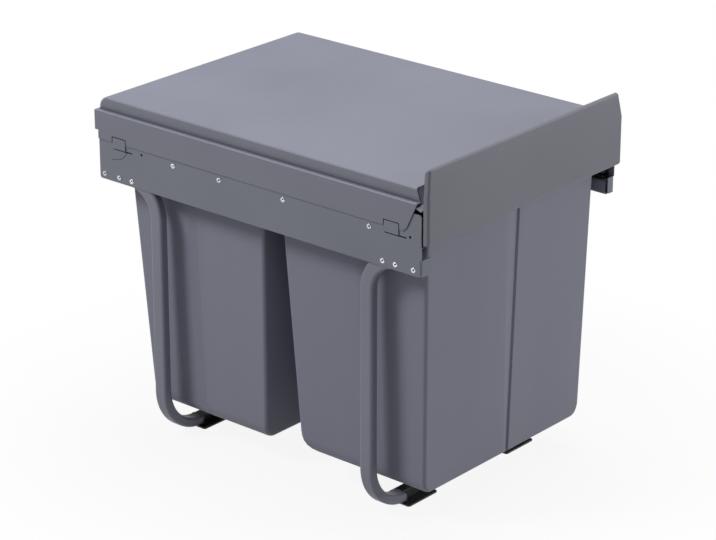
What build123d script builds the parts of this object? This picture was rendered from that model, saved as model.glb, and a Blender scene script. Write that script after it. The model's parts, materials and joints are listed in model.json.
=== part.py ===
from build123d import *
import math
import os

os.makedirs("parts", exist_ok=True)

# Lengths are in millimetres. X runs across the frame, Y from front to rear and Z up.
# The origin is on the floor, below the middle of the closed frame.
# Handed pieces are drawn for the left, on the side of negative X, and mirrored.

# Whole frame
frame_depth = 480.0
frame_height = 422.4
panel_span = 338.6
sheet = 1.2
cut_over = 5.0

# Runs are measured inwards from the front or the rear end of the frame, and drops from
# its top, so a deeper or higher frame keeps its ends and its body together.

# Side panels
panel_height = 78.8
panel_front_gap = 8.8
panel_rear_gap = 5.0
panel_nose_drop = 10.3
panel_nose_length = 11.5
panel_nose_radius = 3.0
panel_bend = 2.5
panel_corner_radius = 3.0
front_flange_widths = {"left": 16.3, "right": 11.5}
front_flange_height = 18.5
top_flange_width = 8.0

# Lanced tabs that snap into notches of the lid's skirt, and the small hole beside each
tab_length = 19.6
tab_corner_radius = 1.2
notch_rise = 7.0
notch_gap = 1.1
slit_rise = 40.2
slit_width = 1.7
slit_run = 10.0
tab_hole_radius = 1.6
tab_hole_rise = 1.3
tab_runs = {"front": 48.2, "rear": 37.1}
tab_hole_runs = {"front": 23.4, "rear": 71.0}

# Crease pressed below each rear tab, with drops measured from the slit
crease_width = 0.8
crease_depth = 0.5
crease_runs = (48.5, 43.2, 36.5, 25.0)
crease_drops = (1.7, 8.0, 11.9, 14.2)

# Lid
lid_drop = 23.9
lid_ledge_drop = 14.5
lid_ledge_width = 7.4
lid_front_run = 21.0
lid_front_foot_run = 16.0
lid_sill_run = 9.4
lid_sill_drop = 4.0
lid_sill_fall = 3.2
lid_rear_radius = 13.5
lid_edge_radius = 3.0
skirt_gap = 0.1
skirt_depth = 33.0
skirt_rear_depth = 23.0
skirt_front_foot_run = 32.4
skirt_front_bend_run = 27.4
skirt_front_bend_rise = 4.4
skirt_front_top_run = 14.8
skirt_front_top_drop = 1.7
skirt_edge_radius = 0.9

# Tube legs
tube_wide = 17.0
tube_thick = 11.5
tube_wall = 1.2
tube_corner = 3.2
tube_arm_rise = 7.0
tube_top_bend = 40.0
tube_foot_bend = 55.0
tube_foot_height = 8.0
tube_runs = {"front": 84.7, "rear": 88.3}
tube_end_runs = {"front": 12.0, "rear": 9.0}

# Feet
foot_length = 50.0
foot_reach = 5.0
foot_sheet = 2.0
foot_height = 13.0
foot_front_flange = 14.5
foot_rear_flange = 23.5
foot_web_offset = 1.7
foot_corner_radius = 3.0
foot_screw_radius = 2.3
foot_screw_spacing = 26.0

# Rivets of the frame
rivet_shank_radius = 1.9
rivet_head_radius = 3.0
rivet_head = 1.1
rivet_dome_share = 0.6
rivet_bore_radius = 1.1
rivet_bore_depth = 1.8
rivet_tail_radius = 2.1
rivet_tail = 1.6
rivet_fit = 0.05
leg_rivet_drop = 0.6
tube_rivet_runs = {"front": (18.9, 43.1, 60.4), "rear": (54.5, 35.1, 12.4)}
slide_rivet_shares = (0.1391, 0.406, 0.6127, 0.7658)

# Ball slides, with depths measured inwards from the side panel
slide_rise = 40.1
slide_height = 45.0
slide_width = 12.7
slide_front_run = 16.0
slide_rear_run = 14.0
slide_sheet = 1.2
slide_lip = 1.4
outer_reach = 10.6
middle_reach = 11.0
outer_ball_radius = 1.95
inner_ball_radius = 1.55
ball_clearance = 0.05
outer_race_depth = 6.0
inner_race_depth = 7.1
outer_cage_edge = 3.0
inner_cage_edge = 2.3
cage_sheet = 0.6
cage_gap = 0.3
cage_length = 180.0
cage_run = 140.0
cage_hole_gap = 0.15
balls_per_row = 8
bumper_length = 7.0
bumper_height = 16.0
bumper_width = 8.0
stop_gap = 0.3

# Drawer carrier
rail_sheet = 1.5
rail_height = 36.0
rail_top_rise = 17.9
shelf_drop = 1.6
shelf_reach = 5.8
rear_overrun = 8.0
rail_relief = 30.0
front_shelf_depth = 17.3
cross_bend = 2.4
rear_shelf_depth = 12.1
divider_front = -10.4
divider_depth = 17.2
divider_height = 12.0
carrier_rivet_head = 0.8
carrier_rivet_rise = 5.0
rail_front_gap = 0.5
carrier_rivet_shares = (0.109, 0.464, 0.831)

# Front panel
face_side_gap = 0.3
face_height = 84.0
face_top_height = 27.5
face_taper = 4.8
face_lean = 2.8
face_return = 6.6
face_top_return = 5.6
face_return_cut = 11.0
face_hem = 3.0
face_bend = 3.2
face_front_share = 0.9
face_corner = 3.6
face_top_corner = 4.5
stud_radius = 2.0
stud_length = 6.0
stud_hole_gap = 0.2
stud_drop = 9.0
stud_end_gap = 28.1
stud_count = 4
nut_across = 7.0
nut_thick = 3.2
nut_bore_gap = 0.1

# Bins, with the end wall of each as a run and the wall at the divider as a place
bin_wall = 2.2
bin_floors = {"front": 36.0, "rear": 32.5}
bin_shelf_gap = 2.1
bin_side_draft = 7.0
bin_corner = 4.5
bin_base_front = 6.0
bin_base_side = 17.0
bin_base_rear = 25.0
bin_base_steps = 7
bin_rim_sheet = 2.5
bin_rim_side = 6.8
bin_rim_end = 8.0
bin_rim_lip = 9.5
bin_lip_sheet = 2.0
bin_rim_corner = 7.0
bin_end_runs = {
    "front": {"floor": 25.8, "rim": 20.1},
    "rear": {"floor": 52.0, "rim": 27.0},
}
bin_divider_places = {
    "front": {"floor": -38.0, "rim": -14.5},
    "rear": {"floor": 14.0, "rim": 9.0},
}

# Shallow tapered channels moulded in the bin walls, as two edges and a deepest line
channel_depth = 2.4
face_channel_rim = (-9.5, 11.2, 13.0)
face_channel_floor = (-1.0, 6.8, 8.0)
side_channel_runs = {
    "front": {"rim": (119.5, 105.0, 103.0), "floor": (111.0, 98.0, 96.0)},
    "rear": {"rim": (112.0, 125.5, 127.5), "floor": (123.0, 133.5, 135.5)},
}

# Places worked out from the sizes above
front_y = -frame_depth / 2
rear_y = frame_depth / 2


def inwards(place, run):
    """The place along the frame at a run from its front or its rear end."""
    return front_y + run if place == "front" else rear_y - run


lid_top = frame_height - lid_drop
lid_ledge_top = lid_top - lid_ledge_drop
lid_front = front_y + lid_front_run
lid_front_foot = front_y + lid_front_foot_run
skirt_bottom = lid_ledge_top - skirt_depth
skirt_rear_bottom = lid_ledge_top - skirt_rear_depth
skirt_front_foot = front_y + skirt_front_foot_run
skirt_front_bend = front_y + skirt_front_bend_run
skirt_front_bend_height = skirt_bottom + skirt_front_bend_rise
skirt_front_top = front_y + skirt_front_top_run
skirt_front_top_height = lid_ledge_top - skirt_front_top_drop
panel_out = panel_span / 2
panel_in = panel_out - sheet
panel_front = front_y + panel_front_gap
panel_rear = rear_y - panel_rear_gap
panel_top = lid_ledge_top - sheet
panel_bottom = panel_top - panel_height
panel_nose_top = panel_top - panel_nose_drop
slit_height = panel_bottom + slit_rise
notch_top = skirt_bottom + notch_rise
skirt_in = panel_out + skirt_gap
skirt_out = skirt_in + sheet
lid_side = skirt_out - lid_ledge_width
tube_centre = panel_in - tube_thick / 2
tube_foot_end = tube_centre - tube_foot_bend
tube_arm_height = panel_bottom + tube_arm_rise
leg_rivet_height = tube_arm_height - leg_rivet_drop
slide_centre = panel_bottom + slide_rise
slide_front = front_y + slide_front_run
slide_rear = rear_y - slide_rear_run
slide_length = slide_rear - slide_front
member_rear = slide_rear - bumper_length - stop_gap
cage_front = front_y + cage_run
outer_half = slide_height / 2
outer_ball_height = outer_half - slide_sheet - outer_ball_radius - ball_clearance
middle_half = outer_ball_height - outer_ball_radius - ball_clearance
inner_ball_height = middle_half - slide_sheet - inner_ball_radius - ball_clearance
inner_half = inner_ball_height - inner_ball_radius - ball_clearance
outer_cage_depth = slide_sheet + cage_gap
middle_depth = outer_cage_depth + cage_sheet + cage_gap
inner_cage_depth = middle_depth + slide_sheet + cage_gap
inner_tip_depth = inner_cage_depth + cage_sheet + cage_gap
tube_rivet_places = {
    place: tuple(inwards(place, run) for run in runs) for place, runs in tube_rivet_runs.items()
}
slide_rivet_places = [slide_front + share * slide_length for share in slide_rivet_shares]
carrier_rivet_places = [slide_front + share * slide_length for share in carrier_rivet_shares]
rail_out = panel_in - slide_width
rail_in = rail_out - rail_sheet
rail_top = slide_centre + rail_top_rise
rail_bottom = rail_top - rail_height
shelf_in = rail_in - shelf_reach
shelf_top = slide_centre - shelf_drop
shelf_bottom = shelf_top - rail_sheet
carrier_front = front_y + sheet
cross_back = carrier_front + rail_sheet
rail_front = front_y + face_return + rail_front_gap
carrier_rivet_height = slide_centre + carrier_rivet_rise
rail_rear = member_rear + rear_overrun
face_half = panel_out - face_side_gap
face_bottom = frame_height - face_height
face_kink = frame_height - face_top_height
stud_height = rail_top - stud_drop
stud_spacing = 2 * (rail_out - stud_end_gap) / (stud_count - 1)
rim_top = shelf_top + bin_rim_sheet
bin_rim_half = shelf_in - bin_shelf_gap
bin_floor_half = bin_rim_half - bin_side_draft


def block(x_limits, y_limits, z_limits, mode=Mode.ADD):
    """A plain box between two limits along each axis."""
    limits = (x_limits, y_limits, z_limits)
    centre = [(low + high) / 2 for low, high in limits]
    size = [abs(high - low) for low, high in limits]
    with Locations(tuple(centre)):
        Box(*size, mode=mode)


def pin_across(y, z, radius, x_start, x_end, mode=Mode.ADD):
    """A round bar along X, from one place across the frame to another."""
    with BuildSketch(Plane.YZ.offset(x_start)) as disc:
        with Locations((y, z)):
            Circle(radius)
    extrude(disc.sketch, amount=x_end - x_start, mode=mode)


def side_profile(points, half_width, mode=Mode.ADD):
    """A solid with the outline of the points, seen from the side, about the middle."""
    with BuildSketch(Plane.YZ) as outline:
        with BuildLine():
            Polyline(*points, close=True)
        make_face()
    extrude(outline.sketch, amount=half_width, both=True, mode=mode)


def save(piece, name):
    """Labels one piece and writes it."""
    piece.label = name
    export_step(piece, f"parts/{name}.step")


def save_pair(piece, name):
    """Writes a left-hand piece and its mirror image."""
    save(piece, f"left_{name}")
    save(mirror(piece, about=Plane.YZ), f"right_{name}")


def save_both(piece, name):
    """Writes a left-hand set of like pieces and its mirror image as one node."""
    mirrored = mirror(piece, about=Plane.YZ)
    save(Compound(children=[*piece.solids(), *mirrored.solids()]), name)


# Side panels: a folded sheet each side, which carries the lid, the slide and two legs
def side_panel(flange_width):
    with BuildPart() as panel:
        nose_end = panel_front + panel_nose_length
        fold_end = panel_front + panel_bend
        flange_top = panel_bottom + front_flange_height
        with BuildSketch(Plane.YZ.offset(-panel_out)):
            with BuildLine():
                Polyline(
                    (fold_end, panel_bottom),
                    (fold_end, flange_top),
                    (panel_front, flange_top),
                    (panel_front, panel_nose_top),
                    (nose_end, panel_nose_top),
                    (nose_end, panel_top),
                    (panel_rear, panel_top),
                    (panel_rear, panel_bottom),
                    close=True,
                )
            make_face()
        extrude(amount=sheet)
        nose = panel.edges().filter_by(Axis.X).group_by(Axis.Y)[0].sort_by(Axis.Z)[-1]
        fillet(nose, panel_nose_radius)
        rear_foot = panel.edges().filter_by(Axis.X).group_by(Axis.Y)[-1].sort_by(Axis.Z)[0]
        fillet(rear_foot, panel_corner_radius)

        # Stiffening flange folded in at the front, and the shelf that the lid rests on
        flange_in = -panel_out + flange_width
        flange_back = panel_front + sheet
        with BuildSketch(Plane.XY.offset(panel_bottom)) as fold:
            with BuildLine():
                fold_centre = (-panel_out + panel_bend, fold_end)
                outer = CenterArc(fold_centre, panel_bend, 180, 90)
                inner = CenterArc(fold_centre, panel_bend - sheet, 180, 90)
                Line(outer @ 0, inner @ 0)
                Polyline(outer @ 1, (flange_in, panel_front), (flange_in, flange_back), inner @ 1)
            make_face()
        extrude(fold.sketch, amount=front_flange_height)
        shelf_edge = -panel_out + top_flange_width
        block((-panel_out, shelf_edge), (nose_end, panel_rear), (panel_top - sheet, panel_top))
        flange_ends = panel.edges().filter_by(Axis.Y).group_by(Axis.X)[-1]
        fillet(flange_ends.sort_by(Axis.Z)[0], panel_corner_radius)

        # Each tab bulges from the sheet above its slit, with its tip in the skirt's notch
        for place in tab_runs:
            tab_centre = inwards(place, tab_runs[place])
            low = tab_centre - tab_length / 2
            high = tab_centre + tab_length / 2
            block((-skirt_out, -skirt_in), (low, high), (slit_height, notch_top - notch_gap))
            block((-skirt_in, -panel_out), (low, high), (slit_height, skirt_bottom - notch_gap))
            slit = (slit_height - slit_width, slit_height)
            block((-panel_out, -panel_in), (low - slit_run, high), slit, mode=Mode.SUBTRACT)
            hole_height = slit_height + tab_hole_rise
            ends = (-panel_out, -panel_in)
            hole_y = inwards(place, tab_hole_runs[place])
            pin_across(hole_y, hole_height, tab_hole_radius, *ends, mode=Mode.SUBTRACT)

        tips = [e for e in panel.edges().filter_by(Axis.X) if e.center().X < -skirt_in]
        fillet([e for e in tips if e.center().Z > skirt_bottom], tab_corner_radius)

        places = [inwards("rear", run) for run in crease_runs]
        crease = list(zip(places, [slit_height - drop for drop in crease_drops]))
        with BuildSketch(Plane.YZ.offset(-panel_out)) as mark:
            with BuildLine():
                ThreePointArc(*crease[:3])
                Line(*crease[2:])
            trace(line_width=crease_width)
        extrude(mark.sketch, amount=crease_depth, mode=Mode.SUBTRACT)

        hole = rivet_shank_radius + rivet_fit
        for y in (*tube_rivet_places["front"], *tube_rivet_places["rear"]):
            pin_across(y, leg_rivet_height, hole, -panel_out, -panel_in, mode=Mode.SUBTRACT)
        for y in slide_rivet_places:
            pin_across(y, slide_centre, hole, -panel_out, -panel_in, mode=Mode.SUBTRACT)
    return panel.part


# Lid: a pressed steel cover with a stepped skirt, open towards the front panel
def lid_body(inset):
    """The lid's outer form, or the space inside it when it is inset by the sheet."""
    low = -cut_over if inset else 0
    front_reach = cut_over if inset else 0
    with BuildPart() as body:
        top = lid_top - inset
        back = rear_y - inset
        upper = (
            (lid_front_foot - front_reach, lid_ledge_top - lid_edge_radius),
            (lid_front_foot - front_reach, lid_ledge_top - inset),
            (lid_front - front_reach, top),
            (back, top),
            (back, lid_ledge_top - lid_edge_radius),
        )
        side_profile(upper, lid_side - inset)
        rear_edge = body.edges().filter_by(Axis.X).group_by(Axis.Z)[-1].sort_by(Axis.Y)[-1]
        fillet(rear_edge, lid_rear_radius - inset)
        long_edges = body.edges().filter_by(Axis.Y).group_by(Axis.Z)[-1]
        fillet(long_edges, lid_edge_radius - inset)
        lower = (
            (skirt_front_foot - front_reach, skirt_bottom + low),
            (skirt_front_bend - front_reach, skirt_front_bend_height + low),
            (skirt_front_top - front_reach, skirt_front_top_height),
            (lid_front_foot - front_reach, lid_ledge_top - inset),
            (back, lid_ledge_top - inset),
            (back, skirt_rear_bottom + low),
            (panel_rear + front_reach, skirt_rear_bottom + low),
            (panel_rear + front_reach, skirt_bottom + low),
        )
        side_profile(lower, skirt_out - inset)
    return body.part


def lid():
    hollow = lid_body(sheet)
    with BuildPart() as cover:
        add(lid_body(0))
        add(hollow, mode=Mode.SUBTRACT)
        sill_top = lid_ledge_top - lid_sill_drop
        sill_front = front_y + lid_sill_run
        sill_low = sill_top - lid_sill_fall
        front_wall = (
            (lid_front, lid_top - sheet),
            (lid_front_foot, sill_top),
            (sill_front, sill_low),
            (sill_front, sill_low - sheet),
            (lid_front_foot + sheet, sill_top - sheet),
            (lid_front + sheet, lid_top - sheet),
        )
        side_profile(front_wall, lid_side - lid_edge_radius)
        side_profile(front_wall[1:5], skirt_in)
        along = [e for e in cover.edges().filter_by(Axis.Y) if e.center().Z > lid_ledge_top - sheet]
        fillet([e for e in along if abs(e.center().X) > skirt_out - skirt_gap], skirt_edge_radius)

        reach = skirt_out + cut_over
        for place in tab_runs:
            middle = inwards(place, tab_runs[place])
            half = tab_length / 2 + notch_gap
            notch = (skirt_bottom - cut_over, notch_top)
            block((-reach, reach), (middle - half, middle + half), notch, mode=Mode.SUBTRACT)
        across = cover.edges().filter_by(Axis.X)
        fillet([e for e in across if abs(e.center().Z - notch_top) < skirt_gap], tab_corner_radius)
    return cover.part


# Tube legs: flat-sided tube bent towards its panel at the top and inwards at the floor
def tube_form(place, grow):
    """The leg's outer form, or its bore when it is grown by minus the wall."""
    y_leg = inwards(place, tube_runs[place])
    y_end = inwards(place, tube_end_runs[place])
    way = 1 if y_end > y_leg else -1
    wide, thick = tube_wide + 2 * grow, tube_thick + 2 * grow
    corner = tube_corner + grow
    bend_z = tube_arm_height - tube_top_bend
    bend_y = y_leg + way * tube_top_bend
    foot_z = tube_foot_height + tube_foot_bend
    arc_share = math.sqrt(0.5)
    with BuildPart() as leg:
        with BuildLine() as route:
            arm = Line((-tube_centre, y_end, tube_arm_height), (-tube_centre, bend_y, tube_arm_height))
            top_middle = (
                -tube_centre,
                bend_y - way * tube_top_bend * arc_share,
                bend_z + tube_top_bend * arc_share,
            )
            ThreePointArc(arm @ 1, top_middle, (-tube_centre, y_leg, bend_z))
            Line((-tube_centre, y_leg, bend_z), (-tube_centre, y_leg, foot_z))
            foot_middle = (
                -tube_foot_end - tube_foot_bend * arc_share,
                y_leg,
                foot_z - tube_foot_bend * arc_share,
            )
            ThreePointArc(
                (-tube_centre, y_leg, foot_z), foot_middle, (-tube_foot_end, y_leg, tube_foot_height)
            )
        start = Plane(origin=arm @ 0, x_dir=(1, 0, 0), z_dir=(0, -way, 0))
        with BuildSketch(start):
            RectangleRounded(thick, wide, corner)
        sweep(path=route.wires()[0])
    return leg.part


def tube_leg(place):
    bore = tube_form(place, -tube_wall)
    with BuildPart() as leg:
        add(tube_form(place, 0))
        add(bore, mode=Mode.SUBTRACT)
        hole = rivet_shank_radius + rivet_fit
        for y in tube_rivet_places[place]:
            wall = (-panel_in, -panel_in + tube_wall)
            pin_across(y, leg_rivet_height, hole, *wall, mode=Mode.SUBTRACT)
    return leg.part


# Feet: a floor plate with an upright web, an end lug for the tube and two screw holes
def foot(place):
    y_leg = inwards(place, tube_runs[place])
    web_front = y_leg - foot_web_offset
    web_rear = web_front + foot_sheet
    plate_front = web_front - foot_front_flange
    plate_rear = web_rear + foot_rear_flange
    lug_end = -tube_foot_end
    plate_end = lug_end - foot_reach
    inner_end = plate_end + foot_length
    with BuildPart() as bracket:
        block((plate_end, inner_end), (plate_front, plate_rear), (0, foot_sheet))
        block((lug_end, inner_end), (web_front, web_rear), (0, foot_height))
        lug = (lug_end, lug_end + foot_sheet)
        block(lug, (y_leg - tube_wide / 2, y_leg + tube_wide / 2), (0, foot_height))
        corners = bracket.edges().filter_by(Axis.Z)
        fillet(corners.group_by(Axis.Y)[0], foot_corner_radius)
        fillet(bracket.edges().filter_by(Axis.Z).group_by(Axis.Y)[-1], foot_corner_radius)
        middle_x = (plate_end + inner_end) / 2
        middle_y = (web_rear + plate_rear) / 2
        with Locations((middle_x, middle_y, foot_sheet)):
            with GridLocations(foot_screw_spacing, 0, 2, 1):
                Hole(foot_screw_radius)
    return bracket.part


# Rivets: a domed ring outside, a hollow shank, and for the tubes an upset tail inside
def rivet(y, z, grip, tail):
    """One blind rivet through the side panel and what lies behind it."""
    face = -panel_out
    with BuildPart() as pin:
        pin_across(y, z, rivet_head_radius, face - rivet_head, face)
        fillet(pin.edges().sort_by(Axis.X)[0], rivet_head * rivet_dome_share)
        pin_across(y, z, rivet_shank_radius, face, face + grip)
        if tail:
            pin_across(y, z, rivet_tail_radius, face + grip, face + grip + tail)
        bore = (face - rivet_head, face - rivet_head + rivet_bore_depth)
        pin_across(y, z, rivet_bore_radius, *bore, mode=Mode.SUBTRACT)
    return pin.part


def rivet_set(places, z, grip, tail):
    solids = [rivet(y, z, grip, tail).solids()[0] for y in places]
    return Compound(children=solids)


# Slide members: channels nested in one another, each with curled lips over its races
def slide_member(web_depth, tip_depth, half, lip, rear):
    """A channel with its web at one depth and its open side at the other."""
    way = 1 if tip_depth > web_depth else -1
    web = -panel_in + web_depth
    tip = -panel_in + tip_depth
    y_limits = (slide_front, rear)
    with BuildPart() as member:
        block((web, web + way * slide_sheet), y_limits, (slide_centre - half, slide_centre + half))
        for side in (-1, 1):
            outer = slide_centre + side * half
            inner = outer - side * slide_sheet
            block((web, tip), y_limits, (inner, outer))
            if lip:
                block((tip - way * slide_sheet, tip), y_limits, (inner - side * lip, inner))
    return member.part


def drill_across(member, places, height, x_limits):
    """The member with a row of rivet holes through its web."""
    with BuildPart() as drilled:
        add(member)
        for y in places:
            hole = rivet_shank_radius + rivet_fit
            pin_across(y, height, hole, *x_limits, mode=Mode.SUBTRACT)
    return drilled.part


def outer_member():
    member = slide_member(0, outer_reach, outer_half, slide_lip, slide_rear)
    web = (-panel_in, -panel_in + slide_sheet)
    return drill_across(member, slide_rivet_places, slide_centre, web)


def inner_member():
    member = slide_member(slide_width, inner_tip_depth, inner_half, 0, member_rear)
    web = (-rail_out - slide_sheet, -rail_out)
    return drill_across(member, carrier_rivet_places, carrier_rivet_height, web)


def ball_places():
    pitch = cage_length / balls_per_row
    return [cage_front + pitch * (number + 0.5) for number in range(balls_per_row)]


def ball_cage(web_depth, race_depth, edge, ball_height, ball_radius):
    """A strip folded round the next member, with a hole for each ball."""
    web = -panel_in + web_depth
    tip = -panel_in + race_depth + edge
    y_limits = (cage_front, cage_front + cage_length)
    half = ball_height + cage_sheet / 2
    with BuildPart() as cage:
        block((web, web + cage_sheet), y_limits, (slide_centre - half, slide_centre + half))
        for side in (-1, 1):
            outer = slide_centre + side * half
            block((web, tip), y_limits, (outer - side * cage_sheet, outer))
        with Locations(*[(-panel_in + race_depth, y, slide_centre) for y in ball_places()]):
            Cylinder(ball_radius + cage_hole_gap, slide_height, mode=Mode.SUBTRACT)
    return cage.part


def balls(race_depth, ball_height, ball_radius):
    """Both rows of balls of one cage."""
    with BuildPart() as rows:
        x = -panel_in + race_depth
        heights = (slide_centre - ball_height, slide_centre + ball_height)
        with Locations(*[(x, y, z) for y in ball_places() for z in heights]):
            Sphere(ball_radius)
    return rows.part


def bumper():
    """The rubber block that stops the moving members at the rear."""
    with BuildPart() as stop:
        x_limits = (-panel_in + slide_sheet, -panel_in + slide_sheet + bumper_width)
        y_limits = (slide_rear - bumper_length, slide_rear)
        half = bumper_height / 2
        block(x_limits, y_limits, (slide_centre - half, slide_centre + half))
        fillet(stop.edges().filter_by(Axis.X).group_by(Axis.Y)[0], slide_sheet)
    return stop.part


# Drawer carrier: angle rails on the slides, joined by cross members that hold the rims
def carrier_rail():
    with BuildPart() as rail:
        block((-rail_out, -rail_in), (rail_front, rail_rear), (shelf_bottom, rail_top))
        lower_front = rail_front + rail_relief
        block((-rail_out, -rail_in), (lower_front, rail_rear), (rail_bottom, shelf_bottom))
        block((-rail_in, -shelf_in), (rail_front, rail_rear), (shelf_bottom, shelf_top))
        hole = rivet_shank_radius + rivet_fit
        for y in carrier_rivet_places:
            pin_across(y, carrier_rivet_height, hole, -rail_out, -rail_in, mode=Mode.SUBTRACT)
    return rail.part


def carrier_rivets():
    solids = []
    for y in carrier_rivet_places:
        with BuildPart() as pin:
            shank = (-rail_out - slide_sheet, -rail_in)
            pin_across(y, carrier_rivet_height, rivet_shank_radius, *shank)
            head = (-rail_in, -rail_in + carrier_rivet_head)
            pin_across(y, carrier_rivet_height, rivet_head_radius, *head)
        solids.append(pin.part.solids()[0])
    return Compound(children=solids)


def stud_places():
    first = -stud_spacing * (stud_count - 1) / 2
    return [(first + stud_spacing * number, stud_height) for number in range(stud_count)]


def front_cross_member():
    with BuildPart() as bar:
        block((-rail_out, rail_out), (carrier_front, cross_back), (shelf_bottom, rail_top))
        block((-rail_out, rail_out), (cross_back, rail_front), (shelf_bottom, shelf_top))
        shelf = (rail_front, cross_back + front_shelf_depth)
        block((-shelf_in, shelf_in), shelf, (shelf_bottom, shelf_top))
        bend = bar.edges().filter_by(Axis.X).group_by(Axis.Z)[0].sort_by(Axis.Y)[0]
        fillet(bend, cross_bend)
        with BuildSketch(Plane.XZ.offset(-cross_back)):
            with Locations(*stud_places()):
                Circle(stud_radius + stud_hole_gap)
        extrude(amount=rail_sheet, mode=Mode.SUBTRACT)
    return bar.part


def rear_cross_member():
    with BuildPart() as bar:
        end = (rail_rear, rail_rear + rail_sheet)
        block((-rail_out, rail_out), end, (rail_bottom, shelf_top))
        shelf = (rail_rear - rear_shelf_depth, rail_rear)
        block((-shelf_in, shelf_in), shelf, (shelf_bottom, shelf_top))
    return bar.part


def divider_bar():
    with BuildPart() as bar:
        rear = divider_front + divider_depth
        low = shelf_top - divider_height
        block((-shelf_in, shelf_in), (divider_front, rear), (low, shelf_top))
        inside = (divider_front + rail_sheet, rear - rail_sheet)
        block((-shelf_in, shelf_in), inside, (low, shelf_bottom), mode=Mode.SUBTRACT)
    return bar.part


# Front panel: a pressed tray, upright below its kink, leaning back and narrowing above
def face_form(inset):
    """The panel's outer form, or the space behind its sheet when it is inset."""
    half = face_half - inset
    front = front_y + inset
    back = front_y + face_return + (cut_over if inset else 0)
    low = face_bottom + inset
    top = frame_height - inset
    rise_share = (top - face_kink) / (frame_height - face_kink)
    top_half = half - face_taper * rise_share
    top_front = front + face_lean * rise_share
    top_back = back + (face_lean + face_top_return - face_return) * rise_share
    with BuildPart() as form:
        block((-half, half), (front, back), (low, face_kink))
        with BuildSketch(Plane.XY.offset(face_kink)):
            with Locations((0, (front + back) / 2)):
                Rectangle(2 * half, back - front)
        with BuildSketch(Plane.XY.offset(top)):
            with Locations((0, (top_front + top_back) / 2)):
                Rectangle(2 * top_half, top_back - top_front)
        loft()
        low_corners = form.edges().filter_by(Axis.Y).group_by(Axis.Z)[0]
        fillet(low_corners, face_corner - inset)
        ridge = form.faces().sort_by(Axis.Z)[-1].edges()
        high_corners = [e for e in ridge if abs(e.center().X) > top_half - face_top_corner]
        fillet(high_corners, face_top_corner - inset)
        fronts = form.faces().filter_by(lambda face: face.normal_at().Y < -face_front_share)
        rims = [e for face in fronts for e in face.edges()]
        kink = [e for e in rims if abs(e.center().Z - face_kink) < sheet]
        fillet([e for e in rims if e not in kink], face_bend - inset)
    return form.part


def front_panel():
    hollow = face_form(sheet)
    with BuildPart() as panel:
        add(face_form(0))
        add(hollow, mode=Mode.SUBTRACT)
        hem_back = front_y + face_lean + face_hem
        half = face_half - face_taper - face_top_corner
        hem_gap = (hem_back, hem_back + face_top_return)
        over = (frame_height - sheet, frame_height + cut_over)
        block((-half, half), hem_gap, over, mode=Mode.SUBTRACT)
        behind = front_y + face_return + cut_over
        corner_cut = (
            (hem_back, frame_height + cut_over),
            (hem_back, frame_height - sheet),
            (behind, frame_height - face_return_cut),
            (behind, frame_height + cut_over),
        )
        side_profile(corner_cut, face_half, mode=Mode.SUBTRACT)
        with BuildSketch(Plane.XZ.offset(-carrier_front)):
            with Locations(*stud_places()):
                Circle(stud_radius)
        extrude(amount=-stud_length)
    return panel.part


def panel_nuts():
    solids = []
    for x, z in stud_places():
        with BuildPart() as nut:
            with BuildSketch(Plane.XZ.offset(-cross_back - nut_thick)):
                with Locations((x, z)):
                    RegularPolygon(nut_across / 2, 6, major_radius=False)
                    Circle(stud_radius + nut_bore_gap, mode=Mode.SUBTRACT)
            extrude(amount=nut_thick)
        solids.append(nut.part.solids()[0])
    return Compound(children=solids)


# Bins: tapered plastic buckets with wider rounding under their sides and rear
def at_height(z, floor, floor_value, rim_value):
    """The value on a straight wall at a height, from those at its floor and rim."""
    return floor_value + (rim_value - floor_value) * (z - floor) / (shelf_top - floor)


def bin_ends(place, level):
    """Where the front and the rear wall of a bin stand at its floor or its rim."""
    end = inwards(place, bin_end_runs[place][level])
    return sorted((end, bin_divider_places[place][level]))


def bin_section(place, z, base, wall):
    """The limits of one level: half width, front and rear, drawn in over the base."""
    lift = z - base

    def drawn_in(radius):
        radius = radius - wall
        if lift >= radius:
            return 0
        return radius - math.sqrt(radius**2 - (radius - lift) ** 2)

    floor = bin_floors[place]
    half = at_height(z, floor, bin_floor_half, bin_rim_half) - wall - drawn_in(bin_base_side)
    floor_front, floor_rear = bin_ends(place, "floor")
    rim_front, rim_rear = bin_ends(place, "rim")
    front = at_height(z, floor, floor_front, rim_front) + wall + drawn_in(bin_base_front)
    rear = at_height(z, floor, floor_rear, rim_rear) - wall - drawn_in(bin_base_rear)
    return half, front, rear


def bin_form(place, wall, top):
    """The outer form of a bin, or the space inside it when the wall is given."""
    base = bin_floors[place] + wall
    steps = [1 - math.cos(math.pi / 2 * number / bin_base_steps) for number in range(bin_base_steps)]
    levels = [base + (bin_base_rear - wall) * step for step in steps]
    levels += [base + bin_base_rear - wall, top]
    with BuildPart() as form:
        for z in levels:
            half, front, rear = bin_section(place, z, base, wall)
            with BuildSketch(Plane.XY.offset(z)):
                with Locations((0, (front + rear) / 2)):
                    RectangleRounded(2 * half, rear - front, bin_corner - wall)
        loft(ruled=True)
    return form.part


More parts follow.
